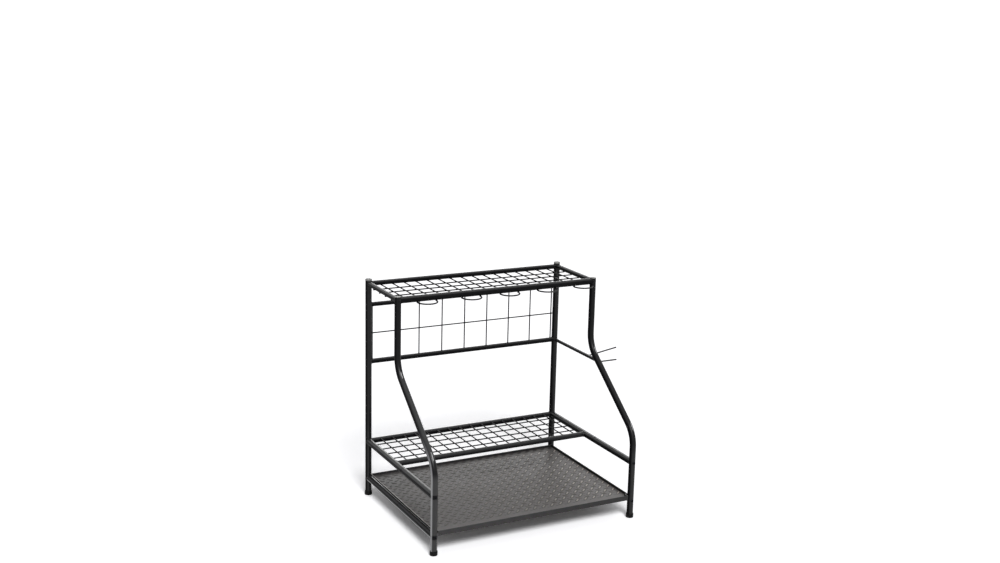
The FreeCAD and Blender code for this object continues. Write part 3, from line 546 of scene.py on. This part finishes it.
# The same coat on the folded rim and flange, in a darker, smoother grey, and darker still towards the
# right. The end walls hardly shine. The left one is painted nearly black as shade, under a hem with a pale
# painted highlight, and the right one is dark brown.
rim_coat, tree, place = start_material("dark_grey_coated_rim")
blotch = add(tree, "ShaderNodeTexNoise", {"Vector": place, "Scale": 1 / 0.05, "Detail": 3.0})
tint = add(tree, "ShaderNodeValToRGB", {"Fac": blotch.outputs["Fac"]},
           stops=((0.3, "#232223"), (0.7, "#2c2a2b")))
normal = add(tree, "ShaderNodeNewGeometry").outputs["Normal"]
faces_to = add(tree, "ShaderNodeSeparateXYZ", {"Vector": normal})
end_wall = add(tree, "ShaderNodeMath", {0: faces_to.outputs["X"]}, operation="ABSOLUTE")
on_wall = add(tree, "ShaderNodeMapRange", {"Value": end_wall.outputs[0], "From Min": 0.5,
                                           "From Max": 0.9, "To Max": 0.85})
where = add(tree, "ShaderNodeSeparateXYZ", {"Vector": place})
at_right = add(tree, "ShaderNodeMapRange", {"Value": where.outputs["X"], "From Min": RIGHT - 0.03,
                                            "From Max": RIGHT - 0.02})
# Painted shade: the left end wall is coloured nearly black.
wall_shade_and_tint = add(tree, "ShaderNodeMix", {0: at_right.outputs["Result"], 6: linear("#0c0c0d"),
                                        7: linear("#39342f")}, data_type="RGBA")
walls = add(tree, "ShaderNodeMix", {0: on_wall.outputs["Result"], 6: tint.outputs["Color"],
                                    7: wall_shade_and_tint.outputs[2]}, data_type="RGBA")
# Painted highlight: the upper side of the hem at the left edge turns pale.
hem = add(tree, "ShaderNodeMapRange", {"Value": faces_to.outputs["Z"], "From Min": 0.3, "From Max": 0.9,
                                       "To Max": 0.9})
left_hem = add(tree, "ShaderNodeMath", {0: where.outputs["X"], 1: pan_low.x + 0.006}, operation="LESS_THAN")
hem_highlight = add(tree, "ShaderNodeMath", {0: hem.outputs["Result"], 1: left_hem.outputs[0]},
               operation="MULTIPLY")
hem_tint = add(tree, "ShaderNodeMix", {0: hem_highlight.outputs[0], 6: walls.outputs[2],
                                       7: linear("#a8a4a0")}, data_type="RGBA")
grit = add(tree, "ShaderNodeTexNoise", {"Vector": place, "Scale": 1 / 0.0018, "Detail": 1.0})
skin = add(tree, "ShaderNodeBump", {"Height": grit.outputs["Fac"], "Strength": 0.3, "Distance": 0.00012})
darker = add(tree, "ShaderNodeMapRange", {"Value": where.outputs["X"], "From Min": LEFT, "From Max": RIGHT,
                                          "To Min": 1.0, "To Max": 0.3})
rim_tint = add(tree, "ShaderNodeVectorMath", {0: hem_tint.outputs[2], "Scale": darker.outputs["Result"]},
               operation="SCALE")
shine = add(tree, "ShaderNodeMapRange", {"Value": end_wall.outputs[0], "From Min": 0.5, "From Max": 0.9,
                                         "To Min": 0.5, "To Max": 0.06})
paint = add(tree, "ShaderNodeBsdfPrincipled", {"Base Color": rim_tint.outputs[0], "Roughness": 0.4,
                                               "Specular IOR Level": shine.outputs["Result"],
                                               "Normal": skin.outputs["Normal"], "IOR": 1.5})
add(tree, "ShaderNodeOutputMaterial", {"Surface": paint.outputs["BSDF"]})


def folded_pan(name):
    """Middle surface of the pan: a fold section carried along each edge of the plan. The section goes from
    the floor round a bend of 2.25 mm, up the wall, over a hem of 1.15 mm and down outside; its points have
    an inset o and a height z, and at a corner the inset runs along the mitre, p - o (n1 + n2)."""
    bend = 0.00225
    hem = 0.00115
    outer = SHEET / 2
    wall = outer + 2 * hem
    low = pan_floor + SHEET / 2
    top = pan_high.z - SHEET / 2 - hem
    hem_end = low + 0.003
    turn = np.linspace(0, math.pi / 2, 6)
    over = np.linspace(0, math.pi, 9)
    inset = np.concatenate([wall + bend - bend * np.sin(turn), wall - hem + hem * np.cos(over), [outer]])
    rise = np.concatenate([low + bend - bend * np.cos(turn), top + hem * np.sin(over), [hem_end]])
    ahead = np.roll(plan, -1, axis=0) - plan
    ahead = ahead / np.linalg.norm(ahead, axis=1, keepdims=True)
    normal = np.stack([ahead[:, 1], -ahead[:, 0]], axis=1)
    mitre = normal + np.roll(normal, 1, axis=0)
    ends = plan[:, None, :] - inset[None, :, None] * mitre[:, None, :]
    flat = np.stack([ends, np.roll(ends, -1, axis=0)], axis=2)
    heights = np.broadcast_to(rise[None, :, None, None], flat.shape[:3] + (1,)).copy()
    heights[0, -1] = pan_low.z + SHEET / 2
    points, faces = quads(np.concatenate([flat, heights], axis=3), False, False)
    floor = np.concatenate([ends[:, 0], np.full((len(plan), 1), low)], axis=1)
    shades = [1] * len(faces) + [0]
    faces.append(list(range(len(points), len(points) + len(plan))))
    return make_piece(name, np.concatenate([points, floor]), faces, [plate_coat, rim_coat], shades)


pan = folded_pan("tray_pan")
wall = pan.modifiers.new("sheet_thickness", "SOLIDIFY")
wall.thickness = SHEET
wall.offset = 0
wall.use_even_offset = True
edge = pan.modifiers.new("eased_edges", "BEVEL")
edge.width = 0.0003
edge.segments = 2
edge.limit_method = "ANGLE"
edge.angle_limit = math.radians(50)
pan.modifiers.new("even_shading", "WEIGHTED_NORMAL").keep_sharp = True
fit(pan, "tray_plate", "tray")


def tread_lugs(name):
    """Long lugs, 31 by 8 mm, crossed at 45 degrees in two sets of one pitch. Along the lug at u and round
    its section at angle f: half width b (1 - u^4), height h (1 - u^6) sin f, sunk 0.1 mm, flat below."""
    height = 0.0015
    sunk = 0.0001
    side_margin = 0.016
    front_margin = 0.062
    corner_margin = notch + 0.017
    u = np.linspace(-1, 1, 9)[:, None]
    f = np.radians([0, 38, 74, 106, 142, 180])[None, :]
    length = LUG_LENGTH / 2 * u + 0 * f
    width = LUG_WIDTH / 2 * (1 - u ** 4) * np.cos(f)
    raised = height * (1 - u ** 6) * np.sin(f) - sunk
    low = plan.min(axis=0) + (side_margin, front_margin)
    high = plan.max(axis=0) - side_margin
    shapes = []
    for shift, lean in LUG_SETS:
        cells = [LUG_START[k] + (np.arange(-16, 18) + shift) * LUG_PITCH[k] for k in (0, 1)]
        x, y = (c.ravel() for c in np.meshgrid(*cells, indexing="ij"))
        inside = (x > low[0]) & (x < high[0]) & (y > low[1]) & (y < high[1])
        corner = (y < FRONT + corner_margin) & ((x < LEFT + corner_margin) | (x > RIGHT - corner_margin))
        x, y = x[inside & ~corner], y[inside & ~corner]
        along = (length - lean * width) * math.sqrt(0.5)
        beside = (lean * length + width) * math.sqrt(0.5)
        rise = np.broadcast_to(pan_floor + SHEET + raised, (len(x),) + raised.shape)
        shapes.append(np.stack([x[:, None, None] + along, y[:, None, None] + beside, rise], axis=-1))
    points, faces = quads(np.concatenate(shapes), False, True)
    return make_piece(name, points, faces, [plate_coat])


fit(tread_lugs("tray_tread_lugs"), "tray_plate")


# Rubber feet. Moulded black ferrules pushed over the tube ends. Their sides are straight, with a rounded
# edge at the floor and a fine groove under the lip at the top.
def turn_profile(name, centre, profile, material):
    """Closed piece turned about an upright axis: at angle t a profile point (r, z) lies at
    (r cos t, r sin t, z) from the centre."""
    turn = np.linspace(0, 2 * math.pi, 48, endpoint=False)[:, None]
    r, z = (np.array([point[k] for point in profile])[None, :] for k in (0, 1))
    shape = np.stack([centre[0] + r * np.cos(turn), centre[1] + r * np.sin(turn),
                      centre[2] + z + 0 * turn], axis=-1)
    points, faces = quads(shape[None], True, False)
    return make_piece(name, points, faces, [material])


def rounded(corners, steps=4):
    """Profile whose corners (r, z, radius) are rounded by curves from tangent point to tangent point:
    p = (1 - t)^2 a + 2 t (1 - t) corner + t^2 b."""
    result = []
    for before, corner, after in zip([corners[0]] + corners[:-1], corners, corners[1:] + [corners[-1]]):
        here = np.array(corner[:2])
        if corner[2] == 0:
            result.append(tuple(here))
            continue
        first = np.array(before[:2]) - here
        second = np.array(after[:2]) - here
        first = here + first * corner[2] / np.linalg.norm(first)
        second = here + second * corner[2] / np.linalg.norm(second)
        t = np.linspace(0, 1, steps + 1)[:, None]
        result += [tuple(p) for p in (1 - t) ** 2 * first + 2 * t * (1 - t) * here + t ** 2 * second]
    return result


# EPDM rubber, moulded: matt black that greys a little with floor dust towards the bottom.
foot_rubber, tree, place = start_material("moulded_black_rubber")
height = add(tree, "ShaderNodeSeparateXYZ", {"Vector": place})
dust_noise = add(tree, "ShaderNodeTexNoise", {"Vector": place, "Scale": 1 / 0.004, "Detail": 4.0})
low = add(tree, "ShaderNodeMapRange", {"Value": height.outputs["Z"], "From Min": 0.0, "From Max": 0.012,
                                       "To Min": 0.5, "To Max": 0.0})
dust_and_floor_reflection = add(tree, "ShaderNodeMath", {0: low.outputs["Result"], 1: dust_noise.outputs["Fac"]},
           operation="MULTIPLY")
tint = add(tree, "ShaderNodeMix", {0: dust_and_floor_reflection.outputs[0], 6: linear("#040404"), 7: linear("#1e1d1c")},
           data_type="RGBA")
grain = add(tree, "ShaderNodeTexNoise", {"Vector": place, "Scale": 1 / 0.0009, "Detail": 2.0})
skin = add(tree, "ShaderNodeBump", {"Height": grain.outputs["Fac"], "Strength": 0.4, "Distance": 0.0001})
rubber = add(tree, "ShaderNodeBsdfPrincipled", {"Base Color": tint.outputs[2], "Roughness": 0.38,
                                                "Specular IOR Level": 0.15,
                                                "Normal": skin.outputs["Normal"], "IOR": 1.5})
add(tree, "ShaderNodeOutputMaterial", {"Surface": rubber.outputs["BSDF"]})

foot_profile = rounded([
    (0, 0, 0), (0.0142, 0, 0.001), (0.0153, 0.0014, 0.001), (0.0153, 0.0125, 0.0005),
    (0.0147, 0.0129, 0.0002), (0.0147, 0.0137, 0.0002), (0.0153, 0.0141, 0.0005),
    (0.0153, 0.0170, 0.0012), (0.0131, 0.0170, 0.0005), (0.0131, 0.0060, 0), (0, 0.0060, 0),
])
for word, depth in (("front", FRONT), ("rear", REAR)):
    for hand, side in (("left", LEFT), ("right", RIGHT)):
        foot = turn_profile(f"rubber_foot_{word}_{hand}", (side, depth, 0), foot_profile, foot_rubber)
        fit(foot, "foot_rubber", f"foot_{word}_{hand}")


# Caps and end plugs. Moulded polyethylene, pressed into the tube ends: the rear caps have a head that is
# tall, with a rounded edge, and show paler than the tubes. The front plugs are almost flush.

# Low-gloss polyethylene with a fine spark-eroded grain of 0.8 mm: a black that has faded to grey, a
# little unevenly, in clouds of 6 mm.
cap_plastic, tree, place = start_material("moulded_dark_polyethylene")
grain = add(tree, "ShaderNodeTexNoise", {"Vector": place, "Scale": 1 / 0.0008, "Detail": 2.0})
cloud = add(tree, "ShaderNodeTexNoise", {"Vector": place, "Scale": 1 / 0.006, "Detail": 2.0})
tint = add(tree, "ShaderNodeMix", {0: cloud.outputs["Fac"], 6: linear("#6a6a69"), 7: linear("#7a7a78")},
           data_type="RGBA")
skin = add(tree, "ShaderNodeBump", {"Height": grain.outputs["Fac"], "Strength": 0.3, "Distance": 0.0001})
plastic = add(tree, "ShaderNodeBsdfPrincipled", {"Base Color": tint.outputs[2], "Roughness": 0.5,
                                                 "Normal": skin.outputs["Normal"], "IOR": 1.5})
add(tree, "ShaderNodeOutputMaterial", {"Surface": plastic.outputs["BSDF"]})

STEM = 0.0118
STEM_LENGTH = 0.016
TUBE_END = TOP + TUBE
cap_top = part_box("rear_upright_cap_left")[1].z - TUBE_END
plug_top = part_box("front_tube_plug_left")[1].z - TUBE_END
stem = [(0, -STEM_LENGTH, 0), (STEM, -STEM_LENGTH, 0), (STEM, 0, 0)]
cap_profile = rounded(stem + [(0.0135, 0, 0.0004), (0.0135, cap_top - 0.0022, 0.0015),
                              (0.0115, cap_top - 0.0002, 0.0015), (0, cap_top, 0)], 5)
plug_profile = rounded(stem + [(0.013, 0, 0.0002), (0.013, plug_top - 0.001, 0.0008),
                               (0.0115, plug_top - 0.0001, 0.0008), (0, plug_top, 0)], 5)
for hand, side in (("left", LEFT), ("right", RIGHT)):
    cap = turn_profile(f"domed_cap_{hand}", (side, REAR, TUBE_END), cap_profile, cap_plastic)
    fit(cap, "closure_plastic", f"rear_upright_cap_{hand}")
    plug = turn_profile(f"flush_plug_{hand}", (side, TOP_FRONT, TUBE_END), plug_profile, cap_plastic)
    fit(plug, "closure_plastic", f"front_tube_plug_{hand}")


# Leg bolts. Button-head socket screws, M6, through the front legs into threaded inserts in the rails.
# Black-oxide steel: dark blue-grey metal, oiled, with small spots that have worn lighter.
bolt_steel, tree, place = start_material("black_oxide_steel")
wear = add(tree, "ShaderNodeTexNoise", {"Vector": place, "Scale": 1 / 0.003, "Detail": 4.0})
tint = add(tree, "ShaderNodeValToRGB", {"Fac": wear.outputs["Fac"]},
           stops=((0.45, "#121214"), (0.75, "#34353a")))
gloss = add(tree, "ShaderNodeMapRange", {"Value": wear.outputs["Fac"], "To Min": 0.28, "To Max": 0.42})
metal = add(tree, "ShaderNodeBsdfPrincipled", {"Base Color": tint.outputs["Color"], "Metallic": 1.0,
                                               "Roughness": gloss.outputs["Result"]})
add(tree, "ShaderNodeOutputMaterial", {"Surface": metal.outputs["BSDF"]})
dress([name for name in nodes if name.endswith("_inserts")], bolt_steel)

HEAD = 0.0062
DOME = 0.0035
SOCKET = 0.0022
SOCKET_DEPTH = 0.0022
EASE = 0.0002
SHANK = 0.003
SHANK_END = 0.038
POINT_LENGTH = 0.0008
POINT_TAPER = 0.0006


def socket_bolts(name, centres):
    """Button heads and shanks along Y. Rows run from the bottom of the socket outwards and down the shank:
    inside the socket the radius is a hexagon's, s / cos(t mod 60 - 30), the head is a dome whose height
    falls from h to h / 5 as a quarter ellipse, and the shank is round."""
    turn = np.radians(np.arange(0, 360, 7.5))[None, :]
    hexagon = SOCKET / np.cos(np.radians((np.degrees(turn) + 1e-9) % 60 - 30))
    rows = [(0 * turn, SOCKET_DEPTH - DOME), (hexagon, SOCKET_DEPTH - EASE - DOME),
            (hexagon, EASE - DOME), (hexagon + EASE, -DOME)]
    for share in (0.35, 0.6, 0.8, 0.93, 1.0):
        radius = SOCKET + 2 * EASE + (HEAD - SOCKET - 2 * EASE) * share
        rows.append((radius + 0 * turn, -DOME * (0.2 + 0.8 * math.sqrt(1 - share ** 2))))
    rows += [(HEAD + 0 * turn, 0.0), (SHANK + 0 * turn, 0.0),
             (SHANK + 0 * turn, SHANK_END - POINT_LENGTH),
             (SHANK - POINT_TAPER + 0 * turn, SHANK_END), (0 * turn, SHANK_END)]
    radius = np.concatenate([row[0] for row in rows])
    depth = np.array([row[1] for row in rows])[:, None] + 0 * turn
    shape = np.stack([radius * np.cos(turn), depth, radius * np.sin(turn)], axis=-1)
    points, faces = quads(np.asarray(centres)[:, None, None, :] + shape[None], False, True)
    return make_piece(name, points, faces, [bolt_steel])


seats = [(side, FRONT - TUBE, height) for height in (SHELF, TRAY_RAILS) for side in (LEFT, RIGHT)]
fit(socket_bolts("button_head_bolts", seats), "fastener_steel", "leg_bolts")


# Studio. A white floor with one large soft light high in front, a weak one behind and a pale room
# around it. Where the camera sees the floor, it is lifted to white.
floor_paint, tree, place = start_material("matt_white_floor")
grain = add(tree, "ShaderNodeTexNoise", {"Vector": place, "Scale": 3.0, "Detail": 3.0})
white = add(tree, "ShaderNodeMapRange", {"Value": grain.outputs["Fac"], "To Min": 0.93, "To Max": 0.95})
lifted_white = (1.3, 1.3, 1.32, 1)
path = add(tree, "ShaderNodeLightPath")
seen = add(tree, "ShaderNodeMath", {0: path.outputs["Is Camera Ray"],
                                    1: path.outputs["Is Transmission Ray"]}, operation="MAXIMUM")
tint = add(tree, "ShaderNodeMix", {0: seen.outputs[0], 6: white.outputs["Result"], 7: lifted_white},
           data_type="RGBA")
matt = add(tree, "ShaderNodeBsdfDiffuse", {"Color": tint.outputs[2]})
lift = add(tree, "ShaderNodeMath", {0: seen.outputs[0], 1: 0.03}, operation="MULTIPLY")
glow = add(tree, "ShaderNodeEmission", {"Strength": lift.outputs[0]})
floor_shader = add(tree, "ShaderNodeAddShader", {0: matt.outputs[0], 1: glow.outputs[0]})
add(tree, "ShaderNodeOutputMaterial", {"Surface": floor_shader.outputs[0]})
floor_low = (-60, -60)
floor_high = (120, 90)
points, faces = quads([[[(x, y, 0) for y in (floor_low[1], floor_high[1])]
                        for x in (floor_low[0], floor_high[0])]], False, False)
make_piece("studio_floor", points, faces, [floor_paint])

world = bpy.data.worlds.new("pale_room")
bpy.context.scene.world = world
world.use_nodes = True
tree = world.node_tree
tree.nodes.clear()
path = add(tree, "ShaderNodeLightPath")
seen = add(tree, "ShaderNodeMath", {0: path.outputs["Is Camera Ray"], 1: path.outputs["Is Glossy Ray"]},
           operation="MAXIMUM")
seen = add(tree, "ShaderNodeMath", {0: seen.outputs[0], 1: path.outputs["Is Transmission Ray"]},
           operation="MAXIMUM")
strength = add(tree, "ShaderNodeMapRange", {"Value": seen.outputs[0], "To Min": 0.26, "To Max": 1.0})
room = add(tree, "ShaderNodeBackground", {"Color": linear("#ffffff"),
                                          "Strength": strength.outputs["Result"]})
add(tree, "ShaderNodeOutputWorld", {"Surface": room.outputs[0]})

for name, energy, spread, towards in (
    ("overhead_softbox", 2.5, 24, (-0.2, -0.9, 1.0)),
    ("back_strip_light", 0.3, 20, (0.43, 0.85, 0.31)),
):
    sun = bpy.data.lights.new(name, "SUN")
    sun.energy = energy
    sun.angle = math.radians(spread)
    lamp = bpy.data.objects.new(name, sun)
    bpy.context.scene.collection.objects.link(lamp)
    lamp.rotation_euler = Vector(towards).to_track_quat("Z", "Y").to_euler()


# Camera. It stands left of the front at the height and distance that were solved from the rack's
# edges in the photograph; the focal length is for a frame 36 mm wide.
yaw = 0.48293
pitch = 0.23064
roll = 0.02373
standpoint = (-2.44996, -4.53492, 2.14480)
ahead = Vector((math.sin(yaw) * math.cos(pitch), math.cos(yaw) * math.cos(pitch), -math.sin(pitch)))
level = Vector((math.cos(yaw), -math.sin(yaw), 0))
above = level.cross(ahead)
image_right = math.cos(roll) * level + math.sin(roll) * above
image_up = -math.sin(roll) * level + math.cos(roll) * above
lens = bpy.data.cameras.new("camera")
lens.sensor_width = 36
lens.lens = 48.160
lens.clip_end = 500
camera = bpy.data.objects.new("camera", lens)
bpy.context.scene.collection.objects.link(camera)
camera.matrix_world = Matrix.Translation(standpoint) @ Matrix(
    (image_right, image_up, -ahead)).transposed().to_4x4()
bpy.context.scene.camera = camera
bpy.context.scene.view_settings.view_transform = "Standard"
